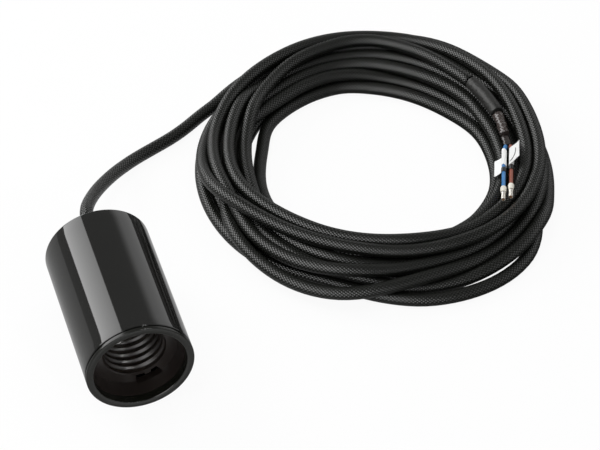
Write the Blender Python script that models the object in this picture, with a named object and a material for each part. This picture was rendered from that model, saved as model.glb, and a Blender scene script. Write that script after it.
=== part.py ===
"""Pendant cord set: an E27 lampholder in a turned cylinder, a long textile cord in a round coil,
and the cord's prepared free end.

The holder lies on its side along Y with its mouth towards -Y. The origin is on the floor, under the
middle of the holder. The coil lies on the same floor, and the free end lies on the coil.
Lengths are in metres.
"""

import math

import bmesh
import bpy
import numpy as np
from mathutils import Matrix, Vector

MM = 0.001

# Clearance between pieces that touch or fit in each other
GAP = 0.3 * MM

# Turned shell
HOLDER_DIAMETER = 45.0 * MM
HOLDER_LENGTH = 71.6 * MM
SHELL_WALL = 1.2 * MM
SHELL_END_WALL = 2.0 * MM
SHELL_EDGE_ROUND = 0.9 * MM
SHELL_LIP_ROUND = 0.25 * MM
ROUND_SIDES = 48
ROUNDING_STEPS = 3

# Ring in the mouth
RING_FLANGE = 1.8 * MM
RING_DEPTH = 3.6 * MM
RING_WALL = 1.6 * MM
RING_EDGE_ROUND = 0.9 * MM
RING_BORE_ROUND = 0.5 * MM

# Moulded socket core, measured inwards from the mouth
LEDGE_DEPTH = 10.3 * MM
LEDGE_THICKNESS = 2.3 * MM
SKIRT_WALL_AT_LEDGE = 2.8 * MM
THREAD_MAJOR_RADIUS = 13.4 * MM
THREAD_MINOR_RADIUS = 12.2 * MM
THREAD_PITCH = 3.63 * MM
THREAD_LENGTH = 20.5 * MM
THREAD_RUN_IN = 1.2 * MM
THREAD_ROWS_PER_PITCH = 6
COLLAR_WALL = 1.3 * MM
NOTCH_START = math.radians(-90.0)
NOTCH_END = math.radians(-54.0)
NOTCH_TAB_START = math.radians(-76.0)
NOTCH_TAB_END = math.radians(-66.0)
NOTCH_TAB_LENGTH = 1.2 * MM
NOTCH_WALL_CUT = 0.5 * MM

# Contact base behind the thread
BASE_THICKNESS = 6.0 * MM
STRIP_THICKNESS = 0.6 * MM
CENTRE_STRIP_WIDTH = 5.0 * MM
CENTRE_STRIP_RISE = 4.5 * MM
SIDE_STRIP_WIDTH = 4.0 * MM
SIDE_STRIP_RISE = 5.0 * MM
STRIP_FOOT = 3.6 * MM
CENTRE_RIVET_OFFSET = 6.4 * MM
SIDE_RIVET_OFFSET = 8.4 * MM
RIVET_RADIUS = 0.9 * MM
RIVET_HEAD_RADIUS = 1.6 * MM
RIVET_HEAD_HEIGHT = 0.6 * MM

# Terminals
TERMINAL_WIDTH = 7.0 * MM
TERMINAL_DEPTH = 8.0 * MM
TERMINAL_HEIGHT = 8.0 * MM
TERMINAL_SPACING = 14.0 * MM
TERMINAL_BORE_DEPTH = 6.0 * MM
TERMINAL_SCREW_RADIUS = 1.5 * MM
TERMINAL_SCREW_HEAD_RADIUS = 2.4 * MM
TERMINAL_SCREW_HEAD_HEIGHT = 1.8 * MM

# Cord clamp
REST_WIDTH = 21.0 * MM
REST_WALL = 2.4 * MM
REST_WALL_OFFSET = 12.5 * MM
REST_SHELF_OFFSET = 18.0 * MM
REST_SHELF_LENGTH = 6.0 * MM
BAR_THICKNESS = 3.0 * MM
CLAMP_SCREW_SPACING = 14.0 * MM
CLAMP_SCREW_RADIUS = 1.4 * MM
CLAMP_SCREW_HEAD_RADIUS = 2.5 * MM
CLAMP_SCREW_HEAD_HEIGHT = 1.8 * MM
CLAMP_SCREW_GRIP = 5.0 * MM

# Bush in the closed end
BUSH_WALL = 2.0 * MM
BUSH_FLANGE = 1.6 * MM
BUSH_INNER_HEIGHT = 1.5 * MM
BUSH_NOSE_HEIGHT = 2.4 * MM
BUSH_NOSE_ROUND = 0.8 * MM

# Cord
CORD_DIAMETER = 5.8 * MM
CORE_DIAMETER = 1.8 * MM
CORD_RESOLUTION = 2
SMALL_SIDES = 12
CORD_END_PAST_CLAMP = 1.2 * MM

# Cord's lead from the bush to the coil: points that it passes through after its straight exit
EXIT_STRAIGHT = (8.0 * MM, 15.0 * MM)
LEAD_ROUTE = (
    (0.7, 58.0, 22.4),
    (1.6, 61.5, 21.4),
    (3.4, 66.3, 19.5),
    (6.4, 72.8, 16.6),
    (11.3, 81.3, 12.9),
    (16.6, 88.6, 9.8),
    (22.5, 95.5, 7.0),
    (27.4, 100.3, 5.0),
    (32.0, 104.0, 3.8),
    (36.4, 106.7, 3.2),
    (40.7, 108.8, 2.95),
    (45.0, 110.7, 2.95),
    (49.3, 112.5, 2.95),
    (53.5, 114.5, 2.95),
    (57.7, 116.8, 2.95),
    (62.0, 119.5, 2.95),
    (65.2, 121.7, 2.95),
    (68.0, 123.8, 2.95),
)

# Coil: middle of its turns, and how far its inside and outside are from there, every 45 degrees
COIL_CENTRE = (133.0 * MM, 69.0 * MM)
COIL_INNER = (54.3, 51.2, 51.0, 50.2, 47.6, 49.2, 51.0, 54.0)
COIL_OUTER = (79.4, 86.0, 88.0, 82.2, 78.6, 82.4, 88.0, 83.0)
COIL_LAYERS = 2
COIL_STATIONS = 56
COIL_SECTION_POINTS = 12
COIL_SQUARENESS = 3.0

# Last stretch of the cord, on top of the coil, as places in plan
TAIL_ROUTE = (
    (141.0, 142.2),
    (146.5, 142.4),
    (152.0, 141.5),
    (158.0, 139.4),
    (164.0, 135.4),
    (170.0, 130.6),
    (175.6, 124.8),
    (180.6, 117.6),
    (184.6, 110.4),
    (188.0, 103.8),
    (190.4, 98.4),
)
END_SLEEVE_ROUTE = (
    (190.72, 97.6),
    (192.1, 92.7),
    (193.3, 87.0),
    (194.1, 81.4),
    (194.6, 76.8),
    (194.68, 74.6),
)
CLEAR_SLEEVE_ROUTE = (
    (194.68, 74.1),
    (194.62, 72.1),
    (194.35, 69.6),
    (193.95, 66.6),
    (193.5, 63.4),
    (193.2, 60.9),
)
TWIN_SLEEVE_ROUTE = ((193.12, 60.45), (192.8, 57.4), (192.3, 54.4))
END_SLEEVE_RADIUS = 3.2 * MM
CLEAR_SLEEVE_RADII = (2.3 * MM, 2.5 * MM, 2.1 * MM, 2.45 * MM, 2.05 * MM, 2.3 * MM)
TWIN_SLEEVE_HALF_WIDTH = 2.0 * MM
TWIN_SLEEVE_HALF_HEIGHT = 1.2 * MM

# The two cores of the free end: where each leaves the twin sleeve, where its straight run starts
# and where its tip is, in plan. The tips stand up from the coil.
CORE_ROUTES = {
    "blue": ((191.14, 54.26), (189.50, 51.60), (175.38, 16.52)),
    "brown": ((193.28, 53.76), (193.26, 52.19), (179.12, 17.06)),
}
CORE_TIP_RISE = 5.5 * MM
CORE_STEPS = 12
LABEL_START = 0.6 * MM
LABEL_LENGTH = 13.2 * MM
LABEL_THICKNESS = 0.25 * MM
LABEL_CURL = math.radians(300.0)
LABEL_WIDTH = {"blue": 5.0 * MM, "brown": 9.2 * MM}
LABEL_TILT = {"blue": math.radians(205.0), "brown": math.radians(50.0)}
LABEL_WIND = {"blue": 1, "brown": -1}
BAND_LENGTH = 3.2 * MM
BAND_WALL = 0.25 * MM
CORE_SHOWING = 11.2 * MM
COLLAR_LENGTH = 3.6 * MM
COLLAR_THICKNESS = 0.25 * MM
FERRULE_RADIUS = 1.1 * MM
FERRULE_WALL = 0.2 * MM
FERRULE_LENGTH = 5.0 * MM
CONDUCTOR_RADIUS = 0.6 * MM
CONDUCTOR_PROUD = 0.2 * MM

# Values that follow from the sizes above
HOLDER_RADIUS = HOLDER_DIAMETER / 2
SHELL_BORE = HOLDER_RADIUS - SHELL_WALL
CORD_RADIUS = CORD_DIAMETER / 2
CORE_RADIUS = CORE_DIAMETER / 2
CORE_BORE = CORE_RADIUS + GAP
CORD_BORE = CORD_RADIUS + GAP
INSERT_RADIUS = SHELL_BORE - GAP
RING_BORE = INSERT_RADIUS - RING_WALL
SHELL_FRONT = RING_FLANGE + GAP
CORE_FRONT = RING_DEPTH + GAP
LEDGE_BACK = LEDGE_DEPTH + LEDGE_THICKNESS
SKIRT_BORE_AT_LEDGE = INSERT_RADIUS - SKIRT_WALL_AT_LEDGE
COLLAR_RADIUS = THREAD_MAJOR_RADIUS + COLLAR_WALL
THREAD_BACK = LEDGE_DEPTH + THREAD_LENGTH
BASE_FRONT = THREAD_BACK + GAP
BASE_BACK = BASE_FRONT + BASE_THICKNESS
TERMINAL_FRONT = BASE_BACK + GAP
TERMINAL_BACK = TERMINAL_FRONT + TERMINAL_HEIGHT
REST_FRONT = BASE_BACK + GAP
SHELF_FRONT = BASE_BACK + REST_SHELF_OFFSET
SHELF_BACK = SHELF_FRONT + REST_SHELF_LENGTH
CORD_INSIDE_FRONT = SHELF_FRONT - CORD_END_PAST_CLAMP
END_WALL_FRONT = HOLDER_LENGTH - SHELL_END_WALL
BUSH_NECK = CORD_BORE + BUSH_WALL
BUSH_HOLE = BUSH_NECK + GAP
BUSH_FLANGE_RADIUS = BUSH_HOLE + BUSH_FLANGE
NOSE_BACK = HOLDER_LENGTH + GAP + BUSH_NOSE_HEIGHT
COIL_HEIGHT = CORD_DIAMETER * (1 + (COIL_LAYERS - 1) * math.sin(math.radians(60.0)))
ON_COIL = COIL_HEIGHT + GAP
COLLAR_OUTSIDE = CORE_BORE + COLLAR_THICKNESS
CORE_HEIGHT = ON_COIL + max(COLLAR_OUTSIDE, CORE_BORE + LABEL_THICKNESS)

GLOSS_BLACK = ("gloss black", (0.012, 0.012, 0.012), 0.12, 0.0)
RING_BLACK = ("ring black", (0.020, 0.020, 0.018), 0.25, 0.0)
MOULDING_BROWN = ("moulding brown", (0.055, 0.042, 0.040), 0.30, 0.0)
BASE_IVORY = ("base ivory", (0.62, 0.58, 0.50), 0.55, 0.0)
BRASS = ("brass", (0.80, 0.62, 0.30), 0.30, 1.0)
ZINC = ("zinc", (0.72, 0.73, 0.74), 0.35, 1.0)
NYLON_BLACK = ("nylon black", (0.025, 0.025, 0.025), 0.45, 0.0)
BRAID_BLACK = ("braid black", (0.022, 0.024, 0.021), 0.60, 0.0)
SHRINK_BLACK = ("shrink black", (0.030, 0.030, 0.030), 0.55, 0.0)
CLEAR_BROWN = ("clear brown", (0.150, 0.110, 0.095), 0.15, 0.0)
LABEL_WHITE = ("label white", (0.90, 0.90, 0.89), 0.60, 0.0)
CORE_BLUE = ("core blue", (0.060, 0.200, 0.420), 0.35, 0.0)
CORE_BROWN = ("core brown", (0.260, 0.070, 0.035), 0.35, 0.0)
FERRULE_WHITE = ("ferrule white", (0.88, 0.86, 0.80), 0.45, 0.0)
TINNED = ("tinned", (0.86, 0.84, 0.78), 0.30, 1.0)
COPPER = ("copper", (0.78, 0.42, 0.24), 0.35, 1.0)

CORE_FINISH = {"blue": CORE_BLUE, "brown": CORE_BROWN}


def clear_scene():
    """Remove every object that the file opened with."""
    for item in list(bpy.data.objects):
        bpy.data.objects.remove(item, do_unlink=True)


def finish(look):
    """Return the Principled material for a look: name, colour, roughness and metallic value."""
    name, colour, roughness, metallic = look
    material = bpy.data.materials.get(name)
    if material is None:
        material = bpy.data.materials.new(name)
        material.use_nodes = True
        shader = material.node_tree.nodes["Principled BSDF"]
        shader.inputs["Base Color"].default_value = (*colour, 1.0)
        shader.inputs["Roughness"].default_value = roughness
        shader.inputs["Metallic"].default_value = metallic
        material.diffuse_color = (*colour, 1.0)
    return material


def add_object(name, data, look, place=None, parent=None):
    """Link an object to the scene with its material, its place and its parent."""
    item = bpy.data.objects.new(name, data)
    bpy.context.scene.collection.objects.link(item)
    if look is not None:
        data.materials.append(finish(look))
    if parent is not None:
        item.parent = parent
    if place is not None:
        item.matrix_local = place
    return item


def to_mesh(name, sheet, smooth=True):
    """Turn a bmesh into a mesh with outward faces, shaded smooth between sharp edges."""
    bmesh.ops.remove_doubles(sheet, verts=sheet.verts, dist=1e-7)
    bmesh.ops.recalc_face_normals(sheet, faces=sheet.faces)
    mesh = bpy.data.meshes.new(name)
    sheet.to_mesh(mesh)
    sheet.free()
    if smooth:
        mesh.shade_smooth()
        mesh.set_sharp_from_angle(angle=math.radians(35.0))
    return mesh


def lathe(name, profile, look, sides=ROUND_SIDES, place=None, parent=None):
    """Spin a closed profile of (radius, height) points about local Z into one solid."""
    sheet = bmesh.new()
    points = [sheet.verts.new((radius, 0.0, height)) for radius, height in profile]
    edges = [sheet.edges.new((points[i - 1], points[i])) for i in range(len(points))]
    bmesh.ops.spin(sheet, geom=points + edges, cent=(0, 0, 0), axis=(0, 0, 1),
                   angle=2 * math.pi, steps=sides, use_merge=True)
    return add_object(name, to_mesh(name, sheet), look, place, parent)


def prism(name, outline, depth, look, place=None, parent=None):
    """Extrude a closed outline in local XY by depth along local Z."""
    sheet = bmesh.new()
    face = sheet.faces.new([sheet.verts.new((x, y, 0.0)) for x, y in outline])
    grown = bmesh.ops.extrude_face_region(sheet, geom=[face])
    lifted = [item for item in grown["geom"] if isinstance(item, bmesh.types.BMVert)]
    bmesh.ops.translate(sheet, verts=lifted, vec=(0.0, 0.0, depth))
    return add_object(name, to_mesh(name, sheet), look, place, parent)


def block(name, low, high, look, place=None, parent=None):
    """Make a box between two local corners."""
    outline = ((low[0], low[1]), (high[0], low[1]), (high[0], high[1]), (low[0], high[1]))
    lift = Matrix.Translation((0.0, 0.0, low[2]))
    return prism(name, outline, high[2] - low[2], look, (place or Matrix()) @ lift, parent)


def grid_solid(name, rings, look, closed_loop=False, place=None, parent=None):
    """Skin rings of points, each with the same count, into one closed solid."""
    sheet = bmesh.new()
    loops = [[sheet.verts.new(point) for point in ring] for ring in rings]
    count = len(loops[0])
    spans = len(loops) if closed_loop else len(loops) - 1
    for i in range(spans):
        here, after = loops[i], loops[(i + 1) % len(loops)]
        for j in range(count):
            k = (j + 1) % count
            sheet.faces.new((here[j], here[k], after[k], after[j]))
    if not closed_loop:
        sheet.faces.new(loops[0])
        sheet.faces.new(loops[-1])
    return add_object(name, to_mesh(name, sheet), look, place, parent)


def smooth_route(points, spacing):
    """Read points at an even spacing from a smooth curve through the given points."""
    given = np.array(points, dtype=float)
    ends = np.vstack([2 * given[0] - given[1], given, 2 * given[-1] - given[-2]])
    steps = np.linspace(0.0, 1.0, 12, endpoint=False)[:, None]
    pieces = []
    for i in range(1, len(ends) - 2):
        before, start, stop, after = ends[i - 1], ends[i], ends[i + 1], ends[i + 2]
        pieces.append(0.5 * (2 * start + (stop - before) * steps
                             + (2 * before - 5 * start + 4 * stop - after) * steps ** 2
                             + (3 * start - before - 3 * stop + after) * steps ** 3))
    fine = np.vstack(pieces + [given[-1:]])
    run = np.concatenate([[0.0], np.cumsum(np.linalg.norm(np.diff(fine, axis=0), axis=1))])
    count = max(2, int(round(run[-1] / spacing)) + 1)
    wanted = np.linspace(0.0, run[-1], count)
    return np.stack([np.interp(wanted, run, fine[:, axis]) for axis in range(3)], axis=1)


def tube(name, points, radius, look, resolution=CORD_RESOLUTION, parent=None):
    """Make a round tube along points, as a bevelled curve with filled caps."""
    curve = bpy.data.curves.new(name, "CURVE")
    curve.dimensions = "3D"
    curve.bevel_depth = radius
    curve.bevel_resolution = resolution
    curve.use_fill_caps = True
    spline = curve.splines.new("POLY")
    spline.points.add(len(points) - 1)
    for slot, point in zip(spline.points, points):
        slot.co = (*point, 1.0)
    return add_object(name, curve, look, parent=parent)


def strip_outline(centre_line, thickness):
    """Return the outline of a thin bent strip from the line along its middle."""
    line = np.array(centre_line, dtype=float)
    along = np.gradient(line, axis=0)
    along /= np.linalg.norm(along, axis=1)[:, None]
    across = np.stack([-along[:, 1], along[:, 0]], axis=1) * thickness / 2
    return [tuple(p) for p in line + across] + [tuple(p) for p in (line - across)[::-1]]


def rounded_corner(centre, radius, start, stop, steps=ROUNDING_STEPS):
    """Return points on an arc, for the rounded corner of a profile."""
    angles = np.linspace(start, stop, steps + 1)
    return [(centre[0] + radius * math.cos(a), centre[1] + radius * math.sin(a)) for a in angles]


def cut(target, cutter):
    """Take the cutter's shape out of the target, and keep the cutter as a hidden guide."""
    cutter.hide_render = True
    cutter.display_type = "WIRE"
    trim = target.modifiers.new("cut " + cutter.name, "BOOLEAN")
    trim.operation = "DIFFERENCE"
    trim.solver = "EXACT"
    trim.object = cutter


def pin_profile(parts):
    """Return the closed profile of stacked cylinders, given as (radius, bottom, top)."""
    profile = [(0.0, parts[0][1])]
    for radius, bottom, top in parts:
        profile += [(radius, bottom), (radius, top)]
    return profile + [(0.0, parts[-1][2])]


def bore(target, radius, bottom, top, place, parent=None):
    """Drill a round hole in the target, from bottom to top along local Z of its place."""
    name = "bore in " + target.name
    cutter = lathe(name, pin_profile([(radius, bottom, top)]), None, SMALL_SIDES, place, parent)
    cut(target, cutter)


def quarter(count):
    """Return an angle in quarter turns."""
    return count * math.pi / 2


def holder_frame():
    """Return the empty that carries the holder: local Z runs from the mouth to the closed end."""
    frame = bpy.data.objects.new("holder frame", None)
    bpy.context.scene.collection.objects.link(frame)
    frame.location = (0.0, -HOLDER_LENGTH / 2, HOLDER_RADIUS)
    frame.rotation_euler = (-quarter(1), 0.0, 0.0)
    return frame


def outer_shell(frame):
    """Turned cup: open at the mouth, with a rounded closed end and a hole for the bush."""
    edge, lip = SHELL_EDGE_ROUND, SHELL_LIP_ROUND
    profile = [(SHELL_BORE, SHELL_FRONT), (HOLDER_RADIUS - lip, SHELL_FRONT),
               (HOLDER_RADIUS, SHELL_FRONT + lip)]
    profile += rounded_corner((HOLDER_RADIUS - edge, HOLDER_LENGTH - edge), edge, 0.0, quarter(1))
    profile += [(BUSH_HOLE, HOLDER_LENGTH), (BUSH_HOLE, END_WALL_FRONT),
                (SHELL_BORE, END_WALL_FRONT)]
    return lathe("outer_shell", profile, GLOSS_BLACK, parent=frame)


def front_ring(frame):
    """Ring in the mouth: a rounded flange over the shell's edge, and a short spigot in its bore."""
    edge, inner = RING_EDGE_ROUND, RING_BORE_ROUND
    profile = rounded_corner((RING_BORE + inner, inner), inner, quarter(2), quarter(3))
    profile += rounded_corner((HOLDER_RADIUS - edge, edge), edge, quarter(3), quarter(4))
    profile += [(HOLDER_RADIUS, RING_FLANGE), (INSERT_RADIUS, RING_FLANGE),
                (INSERT_RADIUS, RING_DEPTH), (RING_BORE, RING_DEPTH)]
    return lathe("front_ring", profile, RING_BLACK, parent=frame)


def thread_radius(depth, angle):
    """Return the bore's radius in the round thread, which fades out at both of its ends."""
    middle = (THREAD_MAJOR_RADIUS + THREAD_MINOR_RADIUS) / 2
    swing = (THREAD_MAJOR_RADIUS - THREAD_MINOR_RADIUS) / 2
    wave = math.cos(2 * math.pi * depth / THREAD_PITCH - angle)
    from_end = min(depth - LEDGE_DEPTH, THREAD_BACK - depth)
    fade = min(1.0, max(0.0, from_end / THREAD_RUN_IN))
    return THREAD_MAJOR_RADIUS + fade * (middle + swing * wave - THREAD_MAJOR_RADIUS)


def socket_core(frame):
    """Moulding with skirt, ledge and threaded collar. The thread winds round as a helix."""
    rows = int(round(THREAD_ROWS_PER_PITCH * THREAD_LENGTH / THREAD_PITCH))
    depths = [THREAD_BACK + (LEDGE_DEPTH - THREAD_BACK) * i / rows for i in range(rows + 1)]
    outside = [(SKIRT_BORE_AT_LEDGE, LEDGE_DEPTH), (RING_BORE, CORE_FRONT),
               (INSERT_RADIUS, CORE_FRONT), (INSERT_RADIUS, LEDGE_BACK),
               (COLLAR_RADIUS, LEDGE_BACK), (COLLAR_RADIUS, THREAD_BACK)]
    rings = []
    for i in range(ROUND_SIDES):
        angle = 2 * math.pi * i / ROUND_SIDES
        profile = outside + [(thread_radius(depth, angle), depth) for depth in depths]
        rings.append([(r * math.cos(angle), r * math.sin(angle), t) for r, t in profile])
    core = grid_solid("socket_core", rings, MOULDING_BROWN, closed_loop=True, parent=frame)
    cut(core, ledge_notch(frame))
    return core


def ledge_notch(frame):
    """Cutter for the gap in the ledge, which leaves a small tab on the collar.

    The angles are as seen from the mouth, so they run the other way round local Z.
    """
    inner = COLLAR_RADIUS
    outer = SKIRT_BORE_AT_LEDGE + NOTCH_WALL_CUT
    steps = 6
    corners = [(inner, a) for a in np.linspace(NOTCH_START, NOTCH_TAB_START, 3)]
    corners += [(inner + NOTCH_TAB_LENGTH, NOTCH_TAB_START),
                (inner + NOTCH_TAB_LENGTH, NOTCH_TAB_END)]
    corners += [(inner, a) for a in np.linspace(NOTCH_TAB_END, NOTCH_END, 3)]
    corners += [(outer, a) for a in np.linspace(NOTCH_END, NOTCH_START, steps)]
    outline = [(r * math.cos(a), -r * math.sin(a)) for r, a in corners]
    margin = 1.0 * MM
    place = Matrix.Translation((0.0, 0.0, LEDGE_DEPTH - margin))
    depth = LEDGE_THICKNESS + 2 * margin
    return prism("ledge notch", outline, depth, None, place, frame)


def contact_base(frame):
    """Moulded disc that closes the threaded bore and carries the contacts and terminals."""
    profile = pin_profile([(INSERT_RADIUS, BASE_FRONT, BASE_BACK)])
    base = lathe("contact_base", profile, BASE_IVORY, parent=frame)
    margin = 1.0 * MM
    for offset in (-CENTRE_RIVET_OFFSET, SIDE_RIVET_OFFSET):
        place = Matrix.Translation((offset, 0.0, 0.0))
        bore(base, RIVET_RADIUS + GAP, BASE_FRONT - margin, BASE_BACK + margin, place, frame)
    return base


def rivet(name, offset, frame):
    """Rivet from a contact strip's foot through the base to its terminal."""
    head_front = BASE_FRONT - GAP - STRIP_THICKNESS - GAP - RIVET_HEAD_HEIGHT
    head_back = head_front + RIVET_HEAD_HEIGHT
    profile = pin_profile([(RIVET_HEAD_RADIUS, head_front, head_back),
                           (RIVET_RADIUS, head_back, BASE_BACK)])
    place = Matrix.Translation((offset, 0.0, 0.0))
    return lathe(name, profile, BRASS, SMALL_SIDES, place, frame)


def contact_strip(name, line, width, rivet_offset, frame):
    """Bent spring strip: its middle line is in local X and Z, and its width is along local Y."""
    lay_down = Matrix(((1, 0, 0, 0), (0, 0, -1, width / 2), (0, 1, 0, 0), (0, 0, 0, 1)))
    strip = prism(name, strip_outline(line, STRIP_THICKNESS), width, BRASS, lay_down, frame)
    place = Matrix.Translation((rivet_offset, 0.0, 0.0))
    margin = 1.0 * MM
    bore(strip, RIVET_RADIUS + GAP, BASE_FRONT - 2 * margin, BASE_FRONT + margin, place, frame)
    return strip


def contacts(frame):
    """Centre contact, a sprung tongue, and side contact, which stands up inside the thread."""
    foot = BASE_FRONT - GAP - STRIP_THICKNESS / 2
    far = -CENTRE_RIVET_OFFSET - STRIP_FOOT / 2
    near = -CENTRE_RIVET_OFFSET + STRIP_FOOT / 2
    rise = CENTRE_STRIP_RISE
    tongue = [(far, foot), (near, foot), (near + 0.35 * rise, foot - 0.30 * rise),
              (near + 0.85 * rise, foot - 0.85 * rise), (near + 1.25 * rise, foot - rise),
              (near + 1.65 * rise, foot - 0.85 * rise)]
    contact_strip("centre_contact", tongue, CENTRE_STRIP_WIDTH, -CENTRE_RIVET_OFFSET, frame)
    rivet("centre_rivet", -CENTRE_RIVET_OFFSET, frame)
    inside = SIDE_RIVET_OFFSET - STRIP_FOOT / 2
    wall = SIDE_RIVET_OFFSET + STRIP_FOOT / 2
    bend = STRIP_THICKNESS
    upright = [(inside, foot), (wall, foot), (wall + 0.7 * bend, foot - 0.3 * bend),
               (wall + bend, foot - bend), (wall + bend, foot - SIDE_STRIP_RISE)]
    contact_strip("side_contact", upright, SIDE_STRIP_WIDTH, SIDE_RIVET_OFFSET, frame)
    rivet("side_rivet", SIDE_RIVET_OFFSET, frame)


def terminals(frame):
    """Two brass blocks behind the base, each bored for a core and clamped by a side screw."""
    half_width, half_depth = TERMINAL_WIDTH / 2, TERMINAL_DEPTH / 2
    middle = (TERMINAL_FRONT + TERMINAL_BACK) / 2
    for side, colour in ((-1, "blue"), (1, "brown")):
        offset = side * TERMINAL_SPACING / 2
        body = block("terminal_" + colour, (offset - half_width, -half_depth, TERMINAL_FRONT),
                     (offset + half_width, half_depth, TERMINAL_BACK), BRASS, parent=frame)
        along = Matrix.Translation((offset, 0.0, 0.0))
        margin = 1.0 * MM
        bore(body, CORE_BORE, TERMINAL_BACK - TERMINAL_BORE_DEPTH, TERMINAL_BACK + margin,
             along, frame)
        turned = Matrix.Translation((offset, 0.0, middle)) @ Matrix.Rotation(quarter(1), 4, "X")
        bore(body, TERMINAL_SCREW_RADIUS + GAP, 0.0, half_depth + margin, turned, frame)
        head = half_depth + GAP
        profile = pin_profile([(TERMINAL_SCREW_RADIUS, CORE_BORE, head),
                               (TERMINAL_SCREW_HEAD_RADIUS, head,
                                head + TERMINAL_SCREW_HEAD_HEIGHT)])
        lathe("terminal_screw_" + colour, profile, ZINC, SMALL_SIDES, turned, frame)


def cord_clamp(frame):
    """Bracket behind the base, and a bar screwed to it that holds the cord's end."""
    wall_out = REST_WALL_OFFSET
    wall_in = REST_WALL_OFFSET - REST_WALL
    outline = ((wall_in, REST_FRONT), (wall_out, REST_FRONT), (wall_out, SHELF_BACK),
               (CORD_BORE, SHELF_BACK), (CORD_BORE, SHELF_FRONT), (wall_in, SHELF_FRONT))
    half = REST_WIDTH / 2
    stand = Matrix(((0, 0, 1, -half), (1, 0, 0, 0), (0, 1, 0, 0), (0, 0, 0, 1)))
    rest = prism("cord_rest", outline, REST_WIDTH, BASE_IVORY, stand, frame)
    bar_top = -CORD_BORE - BAR_THICKNESS
    bar = block("clamp_bar", (-half, bar_top, SHELF_FRONT), (half, -CORD_BORE, SHELF_BACK),
                ZINC, parent=frame)
    middle = (SHELF_FRONT + SHELF_BACK) / 2
    margin = 1.0 * MM
    for side, word in ((-1, "left"), (1, "right")):
        place = Matrix.Translation((side * CLAMP_SCREW_SPACING / 2, 0.0, middle))
        place = place @ Matrix.Rotation(quarter(1), 4, "X")
        tip = -CORD_BORE - CLAMP_SCREW_GRIP
        bore(rest, CLAMP_SCREW_RADIUS + GAP, tip - GAP, margin - CORD_BORE, place, frame)
        bore(bar, CLAMP_SCREW_RADIUS + GAP, CORD_BORE - margin, margin - bar_top, place, frame)
        head = GAP - bar_top
        profile = pin_profile([(CLAMP_SCREW_RADIUS, tip, head),
                               (CLAMP_SCREW_HEAD_RADIUS, head, head + CLAMP_SCREW_HEAD_HEIGHT)])
        lathe("clamp_screw_" + word, profile, ZINC, SMALL_SIDES, place, frame)


def cord_inside(frame):
    """The cord's end inside the shell, and its two cores on their way to the terminals."""
    profile = pin_profile([(CORD_RADIUS, CORD_INSIDE_FRONT, NOSE_BACK)])
    lathe("cord_end_inside", profile, BRAID_BLACK, SMALL_SIDES, parent=frame)
    start = CORD_INSIDE_FRONT - GAP
    tip = TERMINAL_BACK - TERMINAL_BORE_DEPTH + GAP
    for side, colour in ((-1, "blue"), (1, "brown")):
        close = side * (CORE_RADIUS + GAP)
        wide = side * TERMINAL_SPACING / 2
        run = start - TERMINAL_BACK
        route = [(close, 0.0, start), (close, 0.0, start - 0.12 * run),
                 (close + 0.25 * (wide - close), 0.0, start - 0.34 * run),
                 (close + 0.75 * (wide - close), 0.0, start - 0.62 * run),
                 (wide, 0.0, start - 0.86 * run), (wide, 0.0, TERMINAL_BACK), (wide, 0.0, tip)]
        points = smooth_route(route, CORE_DIAMETER)
        tube("inner_core_" + colour, points, CORE_RADIUS, CORE_FINISH[colour], parent=frame)


def cord_bushing(frame):
    """Bush that snaps into the closed end: an inner flange, a neck and a rounded nose."""
    nose = BUSH_NOSE_ROUND
    profile = [(CORD_BORE, END_WALL_FRONT - GAP - BUSH_INNER_HEIGHT),
               (BUSH_FLANGE_RADIUS, END_WALL_FRONT - GAP - BUSH_INNER_HEIGHT),
               (BUSH_FLANGE_RADIUS, END_WALL_FRONT - GAP),
               (BUSH_NECK, END_WALL_FRONT - GAP), (BUSH_NECK, HOLDER_LENGTH + GAP),
               (BUSH_FLANGE_RADIUS, HOLDER_LENGTH + GAP)]
    profile += rounded_corner((BUSH_FLANGE_RADIUS - nose, NOSE_BACK - nose), nose, 0.0, quarter(1))
    profile += [(CORD_BORE, NOSE_BACK)]
    return lathe("cord_bushing", profile, NYLON_BLACK, 24, parent=frame)


def cord_lead():
    """Free stretch of cord from the bush down to the floor and up to the coil."""
    exit_y = NOSE_BACK + GAP - HOLDER_LENGTH / 2
    start = [(0.0, exit_y, HOLDER_RADIUS)]
    start += [(0.0, exit_y + step, HOLDER_RADIUS) for step in EXIT_STRAIGHT]
    route = start + [tuple(value * MM for value in point) for point in LEAD_ROUTE]
    return tube("cord_lead", smooth_route(route, 0.8 * CORD_DIAMETER), CORD_RADIUS, BRAID_BLACK)


def around(values, angle):
    """Read a value at an angle from values given at even stations round the coil."""
    place = (angle / (2 * math.pi) * len(values)) % len(values)
    index = int(place)
    share = (1 - math.cos(math.pi * (place - index))) / 2
    return (values[index] * (1 - share) + values[(index + 1) % len(values)] * share) * MM


def cord_coil():
    """Outer shape of the coil: a turned ring that is a little wider along Y."""
    power = 2.0 / COIL_SQUARENESS
    rings = []
    for i in range(COIL_STATIONS):
        angle = 2 * math.pi * i / COIL_STATIONS
        inner, outer = around(COIL_INNER, angle), around(COIL_OUTER, angle)
        ring = []
        for j in range(COIL_SECTION_POINTS):
            turn = 2 * math.pi * (j + 0.5) / COIL_SECTION_POINTS
            across = math.copysign(abs(math.cos(turn)) ** power, math.cos(turn))
            up = math.copysign(abs(math.sin(turn)) ** power, math.sin(turn))
            tallest = math.sin(math.pi / 2 - math.pi / COIL_SECTION_POINTS) ** power
            radius = (inner + outer) / 2 + across * (outer - inner) / 2
            height = (1 + up / tallest) * COIL_HEIGHT / 2
            ring.append((COIL_CENTRE[0] + radius * math.cos(angle),
                         COIL_CENTRE[1] + radius * math.sin(angle), height))
        rings.append(ring)
    return grid_solid("cord_coil", rings, BRAID_BLACK, closed_loop=True)


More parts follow.
